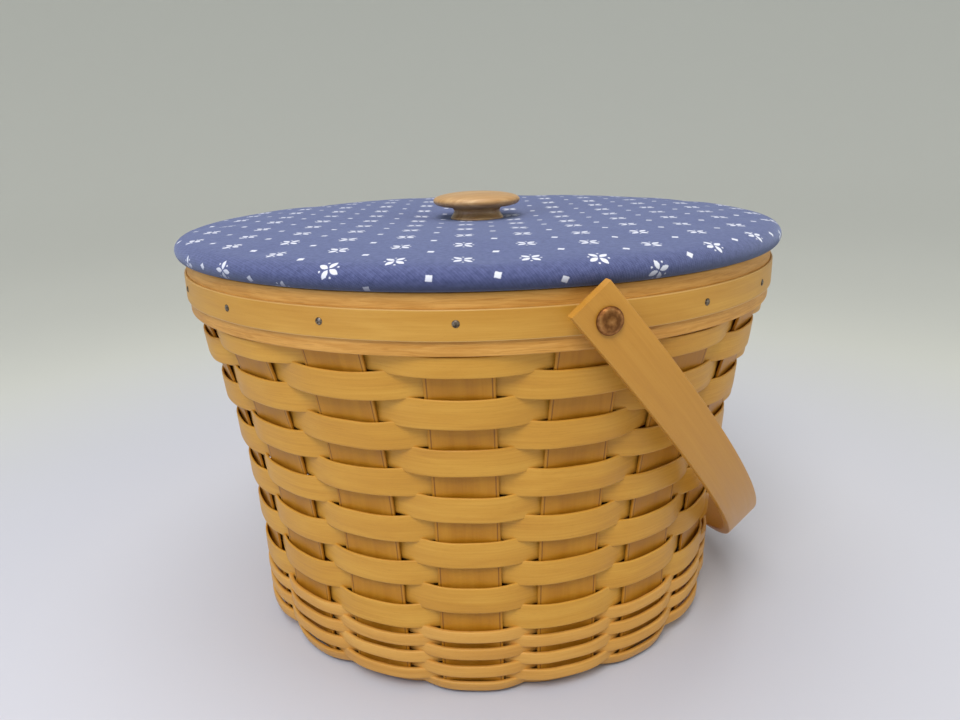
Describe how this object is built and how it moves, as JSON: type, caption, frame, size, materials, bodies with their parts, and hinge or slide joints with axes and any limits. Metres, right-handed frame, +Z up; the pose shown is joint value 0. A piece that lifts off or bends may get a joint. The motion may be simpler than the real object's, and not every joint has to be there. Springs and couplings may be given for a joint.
{
  "type": "sewing basket",
  "caption": "Round flared splint basket with an over-under weave, banded rim, padded cloth lid with a turned knob, and a bent-wood swing handle on rivets.",
  "frame": {"origin": "middle of the base on the floor it stands on", "axes": "+Z up, the handle turns about the Y axis with one rivet towards -Y, and it hangs towards +X at rest"},
  "size_m": [0.3255, 0.3458, 0.2299],
  "materials": {
    "upright_maple": "satin",
    "weaver_maple": "satin",
    "band_maple": "satin",
    "trim_maple": "satin",
    "handle_maple": "satin",
    "turned_maple": "satin",
    "fibreboard": "matte",
    "padding": "matte",
    "calico": "matte",
    "copper": "satin",
    "tack_steel": "dull",
    "screw_steel": "satin"
  },
  "bodies": {
    "basket": {"upright_splint_1": "upright_maple", "upright_splint_2": "upright_maple", "upright_splint_3": "upright_maple", "upright_splint_4": "upright_maple", "upright_splint_5": "upright_maple", "upright_splint_6": "upright_maple", "upright_splint_7": "upright_maple", "upright_splint_8": "upright_maple", "upright_splint_9": "upright_maple", "wide_weaver_1": "weaver_maple", "wide_weaver_2": "weaver_maple", "wide_weaver_3": "weaver_maple", "wide_weaver_4": "weaver_maple", "wide_weaver_5": "weaver_maple", "wide_weaver_6": "weaver_maple", "wide_weaver_7": "weaver_maple", "wide_weaver_8": "weaver_maple", "wide_weaver_9": "weaver_maple", "wide_weaver_10": "weaver_maple", "wide_weaver_11": "weaver_maple", "wide_weaver_12": "weaver_maple", "narrow_weaver_1": "weaver_maple", "narrow_weaver_2": "weaver_maple", "narrow_weaver_3": "weaver_maple", "narrow_weaver_4": "weaver_maple", "narrow_weaver_5": "weaver_maple", "narrow_weaver_6": "weaver_maple", "narrow_weaver_7": "weaver_maple", "narrow_weaver_8": "weaver_maple", "foot_weaver": "weaver_maple", "inner_band": "band_maple", "outer_band": "band_maple", "trim_strip": "trim_maple", "rim_tacks": "tack_steel", "rivet_front": "copper", "rivet_back": "copper", "spacer_front": "band_maple", "spacer_back": "band_maple", "burr_front": "copper", "burr_back": "copper"},
    "handle": {"handle": "handle_maple"},
    "lid": {"lid_board": "fibreboard", "lid_pad": "padding", "lid_cover": "calico", "lid_plug": "fibreboard", "knob": "turned_maple", "knob_screw": "screw_steel", "knob_washer": "screw_steel"}
  },
  "joints": [
    {"name": "handle_swing", "type": "hinge", "parent": "basket", "child": "handle", "pos_m": [0, 0, 0.19285], "axis": [0, -1, 0], "range_deg": [0, 280]},
    {"name": "lid_lift", "type": "slide", "parent": "basket", "child": "lid", "axis": [0, 0, 1], "range_m": [0, 0.25]}
  ]
}
